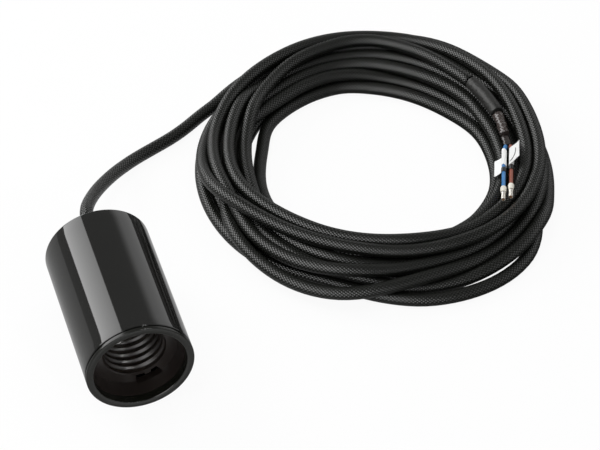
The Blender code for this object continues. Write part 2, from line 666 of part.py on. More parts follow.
def on_coil(route, radius):
    """Lift places in plan, given in millimetres, so that a piece of this radius lies on the coil."""
    return [(x * MM, y * MM, ON_COIL + radius) for x, y in route]


def swept(name, points, radii, look, flatten=1.0):
    """Skin round or flattened sections along points that lie level."""
    path = np.array(points)
    along = np.gradient(path, axis=0)
    along /= np.linalg.norm(along, axis=1)[:, None]
    across = np.stack([along[:, 1], -along[:, 0], 0 * along[:, 0]], axis=1)
    rings = []
    for point, side, radius in zip(path, across, radii):
        turns = [2 * math.pi * j / SMALL_SIDES for j in range(SMALL_SIDES)]
        rings.append([point + radius * (math.cos(a) * side
                                        + math.sin(a) * flatten * np.array((0.0, 0.0, 1.0)))
                      for a in turns])
    return grid_solid(name, rings, look)


def free_end_sleeves():
    """Last stretch of cord on the coil, then its shrink sleeve, clear sleeve and twin sleeve."""
    tail = smooth_route(on_coil(TAIL_ROUTE, CORD_RADIUS), 1.2 * CORD_DIAMETER)
    tube("cord_tail", tail, CORD_RADIUS, BRAID_BLACK)
    sleeve = on_coil(END_SLEEVE_ROUTE, END_SLEEVE_RADIUS)
    swept("end_sleeve", sleeve, [END_SLEEVE_RADIUS] * len(sleeve), SHRINK_BLACK)
    lumps = on_coil(CLEAR_SLEEVE_ROUTE, max(CLEAR_SLEEVE_RADII))
    swept("clear_sleeve", lumps, CLEAR_SLEEVE_RADII, CLEAR_BROWN)
    twin = on_coil(TWIN_SLEEVE_ROUTE, TWIN_SLEEVE_HALF_HEIGHT)
    swept("twin_sleeve", twin, [TWIN_SLEEVE_HALF_WIDTH] * len(twin), CLEAR_BROWN,
          TWIN_SLEEVE_HALF_HEIGHT / TWIN_SLEEVE_HALF_WIDTH)


def free_core(colour):
    """One core of the free end with its label, band, ferrule and strands."""
    first, start, tip = [Vector((x * MM, y * MM, CORE_HEIGHT)) for x, y in CORE_ROUTES[colour]]
    tip.z += CORE_TIP_RISE
    along = (tip - start).normalized()
    across = Vector((-along.y, along.x, 0.0)).normalized()
    up = along.cross(across)
    frame = Matrix.Translation(start) @ Matrix((across, up, along)).transposed().to_4x4()
    band_start = LABEL_START + LABEL_LENGTH + GAP
    core_end = band_start + BAND_LENGTH + CORE_SHOWING + COLLAR_LENGTH
    straight = [start + along * (core_end * i / CORE_STEPS) for i in range(CORE_STEPS + 1)]
    line = smooth_route([tuple(point) for point in [first] + straight], 1.5 * CORE_DIAMETER)
    tube("core_" + colour, line, CORE_RADIUS, CORE_FINISH[colour])
    flag_label(colour, frame @ Matrix.Translation((0.0, 0.0, LABEL_START)))
    sleeve_ring("band_" + colour, CORE_BORE, CORE_BORE + BAND_WALL, band_start,
                band_start + BAND_LENGTH, SHRINK_BLACK, frame)
    collar_end = core_end + GAP
    collar_start = core_end - COLLAR_LENGTH + GAP
    sleeve_ring("ferrule_collar_" + colour, CORE_BORE, COLLAR_OUTSIDE, collar_start, collar_end,
                FERRULE_WHITE, frame)
    tube_start = collar_end + GAP
    tube_end = tube_start + FERRULE_LENGTH
    sleeve_ring("ferrule_tube_" + colour, FERRULE_RADIUS - FERRULE_WALL, FERRULE_RADIUS,
                tube_start, tube_end, TINNED, frame)
    strands = pin_profile([(CONDUCTOR_RADIUS, core_end + GAP, tube_end + CONDUCTOR_PROUD)])
    lathe("conductor_" + colour, strands, COPPER, SMALL_SIDES, frame)


def sleeve_ring(name, inner, outer, bottom, top, look, frame):
    """Short round sleeve along local Z."""
    profile = [(inner, bottom), (outer, bottom), (outer, top), (inner, top)]
    return lathe(name, profile, look, SMALL_SIDES, frame)


def flag_label(colour, place):
    """White label: a strip curled round the core, with a flag that leaves the curl straight on."""
    middle = CORE_BORE + LABEL_THICKNESS / 2
    tilt, wind = LABEL_TILT[colour], LABEL_WIND[colour]
    root = tilt - wind * quarter(1)
    turns = np.linspace(root - wind * LABEL_CURL, root, 11)
    strip = [(middle * math.cos(a), middle * math.sin(a)) for a in turns]
    edge = strip[-1]
    for share in (0.15, 0.55, 1.0):
        reach = LABEL_WIDTH[colour] * share
        strip.append((edge[0] + reach * math.cos(tilt), edge[1] + reach * math.sin(tilt)))
    return prism("label_" + colour, strip_outline(strip, LABEL_THICKNESS), LABEL_LENGTH,
                 LABEL_WHITE, place)


def build():
    """Build every piece of the cord set."""
    clear_scene()
    frame = holder_frame()
    outer_shell(frame)
    front_ring(frame)
    socket_core(frame)
    contact_base(frame)
    contacts(frame)
    terminals(frame)
    cord_clamp(frame)
    cord_inside(frame)
    cord_bushing(frame)
    cord_lead()
    cord_coil()
    free_end_sleeves()
    for colour in CORE_ROUTES:
        free_core(colour)


build()
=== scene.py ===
"""Pendant cord set: lays the cord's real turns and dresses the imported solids."""
import logging
import math
from dataclasses import dataclass
from enum import Enum

import bpy
import numpy as np
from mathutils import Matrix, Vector


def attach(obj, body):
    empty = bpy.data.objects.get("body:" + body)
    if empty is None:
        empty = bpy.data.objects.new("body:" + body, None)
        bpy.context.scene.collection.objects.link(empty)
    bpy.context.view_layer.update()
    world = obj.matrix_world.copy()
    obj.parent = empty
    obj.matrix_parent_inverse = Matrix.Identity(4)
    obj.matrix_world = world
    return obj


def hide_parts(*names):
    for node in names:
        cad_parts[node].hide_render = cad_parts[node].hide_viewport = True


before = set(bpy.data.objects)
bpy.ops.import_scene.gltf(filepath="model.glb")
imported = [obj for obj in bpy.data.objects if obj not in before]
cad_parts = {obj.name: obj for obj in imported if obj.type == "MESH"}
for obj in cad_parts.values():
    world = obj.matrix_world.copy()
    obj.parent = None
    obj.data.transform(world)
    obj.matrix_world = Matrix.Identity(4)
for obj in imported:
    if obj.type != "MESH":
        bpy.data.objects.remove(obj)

LOG = logging.getLogger("pendant_cord_set")
MM = 0.001
HOLDER_RADIUS = 22.5
HOLDER_LENGTH = 71.6
AXIS_HEIGHT = HOLDER_RADIUS
MOUTH_Y = -HOLDER_LENGTH / 2
SHELL_BORE = 21.3
INSERT_RADIUS = 21.0
RING_BORE = 19.4
LEDGE_DEPTH = 10.3
LEDGE_BACK = 12.6
COLLAR_RADIUS = 14.7
THREAD_BACK = 30.8
CORD_DIAMETER = 5.8
FLOOR_HEIGHT = CORD_DIAMETER / 2
SHARP = math.radians(35.0)
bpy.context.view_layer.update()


class Slot(Enum):
    """Material slots that the scene's turned pieces and sleeves are listed with."""

    SHELL = "shell"
    RING = "ring"
    MOULDING = "moulding"
    BRAID = "braid"
    SHRINK = "shrink"
    CLEAR_SLEEVE = "clear_sleeve"
    LABEL = "label"
    FERRULE = "ferrule"
    TINNED = "tinned"


def smooth(values: np.ndarray, times: int) -> np.ndarray:
    """Average each row with its neighbours, a quarter, a half and a quarter, and keep both ends.

    Args:
        values: Rows of points or numbers.
        times: How often the average is taken.

    Returns:
        The smoothed rows.
    """
    for _ in range(times):
        inner = (values[:-2] + 2 * values[1:-1] + values[2:]) / 4
        values = np.concatenate([values[:1], inner, values[-1:]])
    return values


def through(knots: np.ndarray, values: np.ndarray, at: np.ndarray) -> np.ndarray:
    """Read a curve through the values: a cubic on each span, with the slopes of its neighbours.

    Args:
        knots: Rising places of the values.
        values: One number or one point at each knot.
        at: Places to read.

    Returns:
        The curve at each place.
    """
    values = np.asarray(values, float)
    columns = values.reshape(len(values), -1)
    span = np.diff(knots)[:, None]
    chord = np.diff(columns, axis=0) / span
    inner = (chord[:-1] * span[1:] + chord[1:] * span[:-1]) / (span[1:] + span[:-1])
    slope = np.concatenate([chord[:1], inner, chord[-1:]])
    i = np.clip(np.searchsorted(knots, at, side="right") - 1, 0, len(knots) - 2)
    t = ((at - knots[i]) / span[i, 0])[:, None]
    h = span[i]
    result = ((2 * t**3 - 3 * t**2 + 1) * columns[i] + (t**3 - 2 * t**2 + t) * h * slope[i]
              + (3 * t**2 - 2 * t**3) * columns[i + 1] + (t**3 - t**2) * h * slope[i + 1])
    return result.reshape((len(at),) + values.shape[1:])


def along(points: np.ndarray) -> np.ndarray:
    """Length of a path up to each of its points, the running sum of its steps."""
    steps = np.linalg.norm(np.diff(points, axis=0), axis=1)
    return np.concatenate([[0.0], np.cumsum(steps)])


def spaced(points: np.ndarray, step: float) -> np.ndarray:
    """Read a smooth path through the points at even steps.

    Args:
        points: Points of the route in millimetres.
        step: Distance between two points of the result.

    Returns:
        The path, from the first point to the last.
    """
    points = np.asarray(points, float)
    length = along(points)
    fine = through(length, points, np.linspace(0, length[-1], 20 * len(points)))
    length = along(fine)
    count = max(int(round(length[-1] / step)), 2)
    places = np.linspace(0, length[-1], count + 1)
    return np.stack([np.interp(places, length, fine[:, k]) for k in range(3)], axis=1)


def sweep(path: np.ndarray, wide: np.ndarray, high: np.ndarray, sides: int) -> np.ndarray:
    """Carry an ellipse along a path: centre + side * wide * cos(a) + top * high * sin(a).

    The side is the path's direction x Z, and the top is the side x the direction.

    Args:
        path: Points of the path.
        wide: Half widths, one a point, or one for each point and side.
        high: Half heights, in the same form.
        sides: Points round the section.

    Returns:
        A grid of points, path by side by 3.
    """
    ahead = np.gradient(path, axis=0)
    ahead /= np.linalg.norm(ahead, axis=1, keepdims=True)
    side = np.cross(ahead, np.array([0.0, 0.0, 1.0]))
    side /= np.linalg.norm(side, axis=1, keepdims=True)
    top = np.cross(side, ahead)
    angle = 2 * math.pi * np.arange(sides) / sides
    wide = np.asarray(wide, float).reshape(len(path), -1)
    high = np.asarray(high, float).reshape(len(path), -1)
    across = (wide * np.cos(angle))[:, :, None] * side[:, None, :]
    return path[:, None, :] + across + (high * np.sin(angle))[:, :, None] * top[:, None, :]


def linked(name: str, data: bpy.types.ID) -> bpy.types.Object:
    """Add an object with its data to the scene."""
    added = bpy.data.objects.new(name, data)
    bpy.context.scene.collection.objects.link(added)
    return added


def grid_faces(rows: int, sides: int, looped: bool = False) -> np.ndarray:
    """Faces of a grid that closes round its sides and, if looped, from its last row to its first."""
    row, side = np.meshgrid(np.arange(rows if looped else rows - 1), np.arange(sides), indexing="ij")
    below, after = (row + 1) % rows, (side + 1) % sides
    corners = [row * sides + side, below * sides + side, below * sides + after, row * sides + after]
    return np.stack(corners, axis=-1).reshape(-1, 4)


def closed_tube(name: str, grid: np.ndarray, run: np.ndarray) -> bpy.types.Object:
    """Make a tube from a grid, closed round its sides and capped with a fan at each end.

    Args:
        name: Name of the new piece.
        grid: Points in millimetres, rings along the first axis.
        run: Length along the tube at each ring, for the second UV coordinate.

    Returns:
        The new object, with its place in its mesh.
    """
    rings, sides = grid.shape[:2]
    quads = grid_faces(rings, sides)
    size, offset = rings * sides, (rings - 1) * sides
    turn = np.arange(sides)
    after = (turn + 1) % sides
    start_fan = np.stack([np.full(sides, size), turn, after], axis=1)
    end_fan = np.stack([np.full(sides, size + 1), offset + after, offset + turn], axis=1)
    points = np.concatenate([grid.reshape(-1, 3), grid[:1].mean(axis=1), grid[-1:].mean(axis=1)])
    mesh = bpy.data.meshes.new(name)
    mesh.from_pydata(points * MM, [], quads.tolist() + start_fan.tolist() + end_fan.tolist())
    u = (quads[:, :1] % sides + np.array([0, 0, 1, 1])) / sides
    v = run[quads // sides] * MM
    coordinates = np.zeros((len(mesh.loops), 2), np.float32)
    coordinates[:quads.size] = np.stack([u, v], axis=-1).reshape(-1, 2)
    mesh.uv_layers.new(name="UVMap").data.foreach_set("uv", coordinates.ravel())
    mesh.polygons.foreach_set("use_smooth", np.arange(len(mesh.polygons)) < len(quads))
    mesh.update()
    return linked(name, mesh)


@dataclass(frozen=True)
class Axis:
    """Line that a piece is turned about: its origin, and its directions right, to the top and ahead."""

    origin: np.ndarray
    right: np.ndarray
    top: np.ndarray
    ahead: np.ndarray

    def place(self, right: np.ndarray, top: np.ndarray, ahead: np.ndarray) -> np.ndarray:
        """World points of local ones: origin + right * x + top * y + ahead * z."""
        local = np.stack(np.broadcast_arrays(right, top, ahead), axis=-1)
        return self.origin + local @ np.stack([self.right, self.top, self.ahead])


def core_axis(start: tuple, tip: tuple) -> Axis:
    """Axis of a straight core of the free end, from its start to its tip."""
    ahead = np.array(tip) - np.array(start)
    ahead /= np.linalg.norm(ahead)
    right = np.array([-ahead[1], ahead[0], 0.0])
    right /= np.linalg.norm(right)
    return Axis(np.array(start), right, np.cross(ahead, right), ahead)


HOLDER_AXIS = Axis(np.array([0.0, MOUTH_Y, AXIS_HEIGHT]), *np.eye(3)[[0, 2, 1]])
CORE_AXES = {"blue": core_axis((189.50, 51.60, 12.57), (175.38, 16.52, 18.07)),
             "brown": core_axis((193.26, 52.19, 12.57), (179.12, 17.06, 18.07))}


def put_in_place(piece: bpy.types.Object, node: str,
                 finish: bpy.types.Material) -> bpy.types.Object:
    """Give a piece its finish, let it ride on the body, and let it stand for its node."""
    piece.data.materials.append(finish)
    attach(piece, "root")
    if node:
        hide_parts(node)
    LOG.info("%s: %d faces", piece.name, len(piece.data.polygons))
    return piece


def add_piece(name: str, points: np.ndarray, faces: list) -> bpy.types.Object:
    """Make a closed piece with outward faces, with sharp edges from 35 degrees up.

    Args:
        name: Name of the new piece.
        points: Corners in millimetres.
        faces: Corner numbers of each face.

    Returns:
        The new object, with its place in its mesh.
    """
    fans = np.array([(face[0], face[k], face[k + 1]) for face in faces for k in range(1, len(face) - 1)])
    a, b, c = (points[fans[:, k]] for k in range(3))
    if np.einsum("ij,ij->", a, np.cross(b, c)) < 0:
        faces = [face[::-1] for face in faces]
    mesh = bpy.data.meshes.new(name)
    mesh.from_pydata(points * MM, [], faces)
    mesh.shade_smooth()
    mesh.set_sharp_from_angle(angle=SHARP)
    return linked(name, mesh)


def corner(radius: float, depth: float, size: float, start: float, stop: float, count: int = 9) -> list:
    """Points of a rounded corner, from one angle to another in degrees."""
    turn = np.radians(np.linspace(start, stop, count))
    return list(zip(radius + size * np.cos(turn), depth + size * np.sin(turn)))


class Graph:
    """Node graph of a material or the world, and short calls for its nodes."""

    def __init__(self, owner: bpy.types.ID, output: str) -> None:
        """Start an empty graph with its output node."""
        owner.use_nodes = True
        self.tree = owner.node_tree
        self.tree.nodes.clear()
        self.output = self.node(output)

    def put(self, socket: bpy.types.NodeSocket, value: object) -> None:
        """Link a socket to another node's output, or set its value."""
        if isinstance(value, bpy.types.NodeSocket):
            self.tree.links.new(value, socket)
        else:
            socket.default_value = value

    def fill(self, node: bpy.types.Node, **values: object) -> bpy.types.Node:
        """Link or set a node's sockets, with _ for a space in their names."""
        for name, value in values.items():
            self.put(node.inputs[name.replace("_", " ")], value)
        return node

    def node(self, kind: str, **values: object) -> bpy.types.Node:
        """Add a node of a kind and fill its sockets."""
        return self.fill(self.tree.nodes.new("ShaderNode" + kind), **values)

    def place(self, which: str = "Object") -> bpy.types.NodeSocket:
        """Coordinates: Object, UV or Generated."""
        return self.node("TexCoord").outputs[which]

    def ray(self, kind: str) -> bpy.types.NodeSocket:
        """One for a ray of the kind, and else zero."""
        return self.node("LightPath").outputs[f"Is {kind} Ray"]

    def math(self, operation: str, *values: object) -> bpy.types.NodeSocket:
        """One step of arithmetic on numbers or outputs."""
        node = self.node("Math")
        node.operation = operation
        for socket, value in zip(node.inputs, values):
            self.put(socket, value)
        return node.outputs[0]

    def ramp(self, value: object, start: float, stop: float, low: float, high: float,
             soft: bool = False) -> bpy.types.NodeSocket:
        """Map a number between start and stop onto the range from low to high."""
        node = self.node("MapRange", Value=value, From_Min=start, From_Max=stop, To_Min=low, To_Max=high)
        node.interpolation_type = "SMOOTHSTEP" if soft else "LINEAR"
        return node.outputs["Result"]

    def mixed(self, amount: object, *shaders: bpy.types.Node) -> bpy.types.Node:
        """Mix two shaders by an amount from 0 to 1."""
        node = self.node("MixShader", Fac=amount)
        for socket, shader in zip(list(node.inputs)[1:], shaders):
            self.put(socket, shader.outputs[0])
        return node

    def show(self, shader: bpy.types.Node) -> None:
        """Make a shader the graph's surface."""
        self.put(self.output.inputs["Surface"], shader.outputs[0])


class Recipe(Graph):
    """One material's graph, with its shader and calls for what finishes are made of."""

    def __init__(self, name: str) -> None:
        """Start a material with its shader."""
        self.material = bpy.data.materials.new(name)
        super().__init__(self.material, "OutputMaterial")
        self.shader = self.node("BsdfPrincipled")
        self.show(self.shader)

    def noise(self, scale: float, place: object = None, detail: float = 3.0) -> bpy.types.NodeSocket:
        """Cloudy noise from 0 to 1, over the object's coordinates or those given."""
        over = self.place() if place is None else place
        return self.node("TexNoise", Vector=over, Scale=scale, Detail=detail).outputs["Fac"]

    def spread(self, value: object, low: float, high: float) -> bpy.types.NodeSocket:
        """Scale a number from 0 to 1 onto the range from low to high."""
        return self.ramp(value, 0.0, 1.0, low, high)

    def blend(self, amount: object, low: tuple, high: tuple) -> bpy.types.NodeSocket:
        """Mix two colours by an amount from 0 to 1."""
        node = self.node("Mix")
        node.data_type = "RGBA"
        return self.fill(node, Factor=amount, A=(*low, 1.0), B=(*high, 1.0)).outputs["Result"]

    def bump(self, height: object, depth: float) -> None:
        """Raise the surface by the height, from 0 to 1, times the depth in metres."""
        node = self.node("Bump", Strength=1.0, Distance=depth, Height=height)
        self.fill(self.shader, Normal=node.outputs["Normal"])


@dataclass(frozen=True)
class Moulded:
    """Moulded or lacquered surface: faint orange peel, cloudy roughness and a coat where it has one."""

    name: str
    colour: tuple
    roughness: float
    grain: float = 900.0
    depth: float = 0.00001
    coat: float = 0.0
    coat_roughness: float = 0.04
    clouds_per_grain: float = 0.05
    shading: tuple = (0.85, 1.12)
    uneven: tuple = (0.85, 1.15)

    def material(self) -> bpy.types.Material:
        """Build the material, with clouds between its shades and its roughnesses."""
        recipe = Recipe(self.name)
        clouds = recipe.noise(self.grain * self.clouds_per_grain)
        low = tuple(self.shading[0] * c for c in self.colour)
        high = tuple(min(self.shading[1] * c + 0.001, 1.0) for c in self.colour)
        recipe.fill(recipe.shader, Base_Color=recipe.blend(clouds, low, high),
                    Roughness=recipe.spread(clouds, *(self.roughness * share for share in self.uneven)),
                    Coat_Weight=self.coat, Coat_Roughness=self.coat_roughness)
        recipe.bump(recipe.noise(self.grain), self.depth)
        return recipe.material


@dataclass(frozen=True)
class Metal:
    """Bare or plated metal with fine drawn lines along one axis and duller clouds."""

    name: str
    colour: tuple
    roughness: float
    stretch: tuple = (1.0, 0.06, 1.0)
    fineness: float = 2600.0
    clouding: float = 260.0
    dulling: float = 0.78
    uneven: tuple = (0.75, 1.3)
    depth: float = 0.000012

    def material(self) -> bpy.types.Material:
        """Build the material."""
        recipe = Recipe(self.name)
        stretched = recipe.node("Mapping", Vector=recipe.place(), Scale=self.stretch).outputs["Vector"]
        lines = recipe.noise(self.fineness, stretched, 2.0)
        clouds = recipe.noise(self.clouding)
        dull = tuple(self.dulling * c for c in self.colour)
        recipe.fill(recipe.shader, Base_Color=recipe.blend(clouds, dull, self.colour), Metallic=1.0,
                    Roughness=recipe.spread(lines, *(self.roughness * share for share in self.uneven)))
        recipe.bump(lines, self.depth)
        return recipe.material


@dataclass(frozen=True)
class Braid:
    """Textile braid: two families of yarns cross, and each crossing is a small raised pillow.

    Roughness and specular are pairs, between the pillows and on them; so is the colour, whose lighter crest
    on the pillows is a painted sheen. The fading is from least to most.
    """

    name: str
    yarn: tuple = (0.0062, 0.0067, 0.0054)
    # lighter colour on the crossing pillows: a painted sheen
    crest: tuple = (0.0125, 0.0131, 0.0112)
    carriers: float = 12.0
    pitch: float = 0.0017
    relief: float = 0.00012
    roughness: tuple = (0.30, 0.15)
    specular: tuple = (0.08, 0.95)
    fading: tuple = (0.6, 1.15)
    fade_scale: float = 90.0
    fuzz_scale: float = 1500.0
    fuzz_height: float = 0.35

    def material(self) -> bpy.types.Material:
        """Build the material from the cord's UV map, turns round it and metres along it."""
        recipe = Recipe(self.name)
        parts = recipe.node("SeparateXYZ", Vector=recipe.place("UV"))
        round_it = recipe.math("MULTIPLY", parts.outputs["X"], self.carriers * math.pi)
        along_it = recipe.math("MULTIPLY", parts.outputs["Y"], math.pi / self.pitch)
        left = recipe.math("SINE", recipe.math("ADD", round_it, along_it))
        right = recipe.math("SINE", recipe.math("SUBTRACT", round_it, along_it))
        pillow = recipe.math("ABSOLUTE", recipe.math("MULTIPLY", left, right))
        fuzz = recipe.math("MULTIPLY", recipe.noise(self.fuzz_scale), self.fuzz_height)
        fade = recipe.spread(recipe.noise(self.fade_scale), *self.fading)
        # painted sheen: the colour turns lighter on each pillow, times a random fade in tone
        sheen_and_tone = recipe.math("MULTIPLY", pillow, fade)
        recipe.fill(recipe.shader, Base_Color=recipe.blend(sheen_and_tone, self.yarn, self.crest),
                    Roughness=recipe.spread(pillow, *self.roughness),
                    Specular_IOR_Level=recipe.spread(pillow, *self.specular))
        recipe.bump(recipe.math("ADD", pillow, fuzz), self.relief)
        return recipe.material


@dataclass(frozen=True)
class Film:
    """Label film: near-white, satin, with slight waves."""

    name: str
    colour: tuple = (0.86, 0.86, 0.85)
    roughness: tuple = (0.34, 0.5)
    clouding: float = 300.0
    dulling: float = 0.93
    waving: float = 420.0
    depth: float = 0.00004

    def material(self) -> bpy.types.Material:
        """Build the material."""
        recipe = Recipe(self.name)
        clouds = recipe.noise(self.clouding)
        dull = tuple(self.dulling * c for c in self.colour)
        recipe.fill(recipe.shader, Base_Color=recipe.blend(clouds, dull, self.colour),
                    Roughness=recipe.spread(clouds, *self.roughness))
        recipe.bump(recipe.noise(self.waving), self.depth)
        return recipe.material


@dataclass
class Lamp:
    """Soft area lamp: a panel of given size and brightness at a place, turned towards a point."""

    name: str
    place: tuple
    target: tuple
    size: tuple
    radiance: float

    def build(self) -> None:
        """Add the lamp; a panel's power is pi times its area times its brightness."""
        light = bpy.data.lights.new(self.name, "AREA")
        light.shape = "RECTANGLE"
        light.size, light.size_y = self.size
        light.energy = math.pi * self.size[0] * self.size[1] * self.radiance
        self.put(light)

    def put(self, light: bpy.types.Light) -> bpy.types.Object:
        """Place the lamp. Reflections of the panels are the world's, so that their edges can be set."""
        lamp = linked(self.name, light)
        lamp.location = self.place
        aim = Vector(self.target) - Vector(self.place)
        lamp.rotation_euler = aim.to_track_quat("-Z", "Y").to_euler()
        lamp.visible_camera = False
        lamp.visible_glossy = False
        return lamp


@dataclass
class Spot(Lamp):
    """Small lamp with a narrow cone: its size is a radius and degrees, and its radiance is its power."""

    blend: float = 0.4

    def build(self) -> None:
        """Add the lamp."""
        light = bpy.data.lights.new(self.name, "SPOT")
        light.shadow_soft_size, cone = self.size
        light.spot_size = math.radians(cone)
        light.spot_blend = self.blend
        light.energy = self.radiance
        self.put(light).visible_glossy = True


@dataclass(frozen=True)
class Glow:
    """Bright band that reflections see, as angles from straight up towards +X, in degrees."""

    start: float
    stop: float
    at_start: float
    at_stop: float
    soft_start: float = 1.5
    soft_stop: float = 1.5


@dataclass
class Studio:
    """Pale floor, soft lamps and the camera at the photograph's view.

    The floor's fade: two distances along X in metres, and its brightness in reflections at each.
    """

    camera_place: tuple = (-0.141636, -0.699836, 0.760820)
    camera_forward: tuple = (0.21474, 0.68368, -0.69748)
    lens: float = 149.47
    floor_half: float = 6.0
    floor_seen: float = 0.93
    floor_colour: tuple = (0.92, 0.92, 0.92, 1.0)
    floor_fade: tuple = (0.04, 0.16, 0.50, 0.08)
    room_colour: tuple = (0.98, 0.99, 1.0, 1.0)
    room_light: float = 0.55
    dim: float = 0.30
    lamps: tuple = (
        Lamp("strip_lamp", (-0.80, 1.00, 0.62), (0.0, 0.0, 0.03), (0.72, 0.80), 6.2),
        Lamp("fill_lamp", (0.78, 1.10, 0.98), (0.05, 0.0, 0.02), (0.55, 0.8), 1.6),
        Lamp("top_lamp", (-0.45, 0.10, 1.65), (0.05, 0.05, 0.0), (0.9, 0.9), 2.6),
        Spot("mouth_lamp", (0.17, -0.50, 0.29), (-0.003, -0.03, 0.014), (0.08, 6.0), 18.0),
    )
    glows: tuple = (
        Glow(-68.0, -21.0, 5.4, 3.1),
        Glow(52.0, 90.0, 0.78, 0.78, 22.0, 1.0),
    )

    def build(self) -> None:
        """Build the world, the floor, the lamps and the camera."""
        self.world()
        self.floor()
        for lamp in self.lamps:
            lamp.build()
        self.camera()

    def world(self) -> None:
        """Bright where the camera or glass looks, pale for matte light, dim with glows for reflections."""
        world = bpy.data.worlds.new("studio_world")
        bpy.context.scene.world = world
        graph = Graph(world, "OutputWorld")
        seen = graph.node("Background", Strength=1.0)
        room = graph.node("Background", Color=self.room_colour, Strength=self.room_light)
        mirrored = graph.node("Background", Strength=self.mirrored_light(graph))
        either = graph.math("MAXIMUM", graph.ray("Camera"), graph.ray("Transmission"))
        graph.show(graph.mixed(either, graph.mixed(graph.ray("Glossy"), room, mirrored), seen))

    def mirrored_light(self, graph: Graph) -> bpy.types.NodeSocket:
        """Sum of the glows, each a band between two angles about the Y axis, over a dim room."""
        parts = graph.node("SeparateXYZ", Vector=graph.place("Generated"))
        turned = graph.math("ARCTAN2", parts.outputs["X"], parts.outputs["Z"])
        angle = graph.math("MULTIPLY", turned, 180.0 / math.pi)
        total = self.dim
        for glow in self.glows:
            rise, fall = glow.soft_start / 2, glow.soft_stop / 2
            starts = graph.ramp(angle, glow.start - rise, glow.start + rise, 0.0, 1.0, True)
            stops = graph.ramp(angle, glow.stop - fall, glow.stop + fall, 1.0, 0.0, True)
            level = graph.ramp(angle, glow.start, glow.stop, glow.at_start, glow.at_stop)
            lit = graph.math("MULTIPLY", level, graph.math("MULTIPLY", starts, stops))
            total = graph.math("ADD", total, lit)
        return total

    def floor(self) -> None:
        """Wide pale floor that keeps a faint shadow: mostly white light to the camera, the rest matte."""
        half = self.floor_half
        mesh = bpy.data.meshes.new("studio_floor")
        corners = [(-half, -half, 0), (half, -half, 0), (half, half, 0), (-half, half, 0)]
        mesh.from_pydata(corners, [], [(0, 1, 2, 3)])
        material = bpy.data.materials.new("studio_floor_white")
        graph = Graph(material, "OutputMaterial")
        matte = graph.node("BsdfDiffuse", Color=self.floor_colour)
        east = graph.node("SeparateXYZ", Vector=graph.place()).outputs["X"]
        pale = graph.node("Emission", Strength=graph.ramp(east, *self.floor_fade))
        share = graph.math("MULTIPLY", graph.ray("Camera"), self.floor_seen)
        lit = graph.mixed(graph.ray("Glossy"), matte, pale)
        graph.show(graph.mixed(share, lit, graph.node("Emission")))
        mesh.materials.append(material)
        linked("studio_floor", mesh)

    def camera(self) -> None:
        """Camera at the photograph's viewing angle."""
        data = bpy.data.cameras.new("photo_camera")
        data.lens = self.lens
        data.sensor_width = 36.0
        data.clip_end = 50.0
        camera = linked("photo_camera", data)
        camera.location = self.camera_place
        camera.rotation_euler = Vector(self.camera_forward).to_track_quat("-Z", "Y").to_euler()
        bpy.context.scene.camera = camera


@dataclass(frozen=True)
class Turned:
    """Piece turned about its axis from a closed profile of radius and of depth from the axis's origin."""

    name: str
    node: str
    slot: Slot
    profile: tuple
    sides: int = 240
    axis: Axis = HOLDER_AXIS

    def radii(self, angle: np.ndarray) -> np.ndarray:
        """Radius of each point of the profile at each angle."""
        return np.array(self.profile)[:, :1] + 0 * angle

    def build(self, finish: bpy.types.Material) -> bpy.types.Object:
        """Turn the piece: r cos(a) to the right, r sin(a) to the top and the depth ahead."""
        angle = 2 * math.pi * np.arange(self.sides) / self.sides
        radius, depth = self.radii(angle), np.array(self.profile)[:, 1:]
        grid = self.axis.place(radius * np.cos(angle), radius * np.sin(angle), depth)
        faces = grid_faces(len(self.profile), self.sides, True).tolist()
        piece = add_piece(self.name, grid.reshape(-1, 3), faces)
        self.trim(piece)
        return put_in_place(piece, self.node, finish)

    def trim(self, piece: bpy.types.Object) -> None:
        """Cut what is not round out of the piece; here that is nothing."""


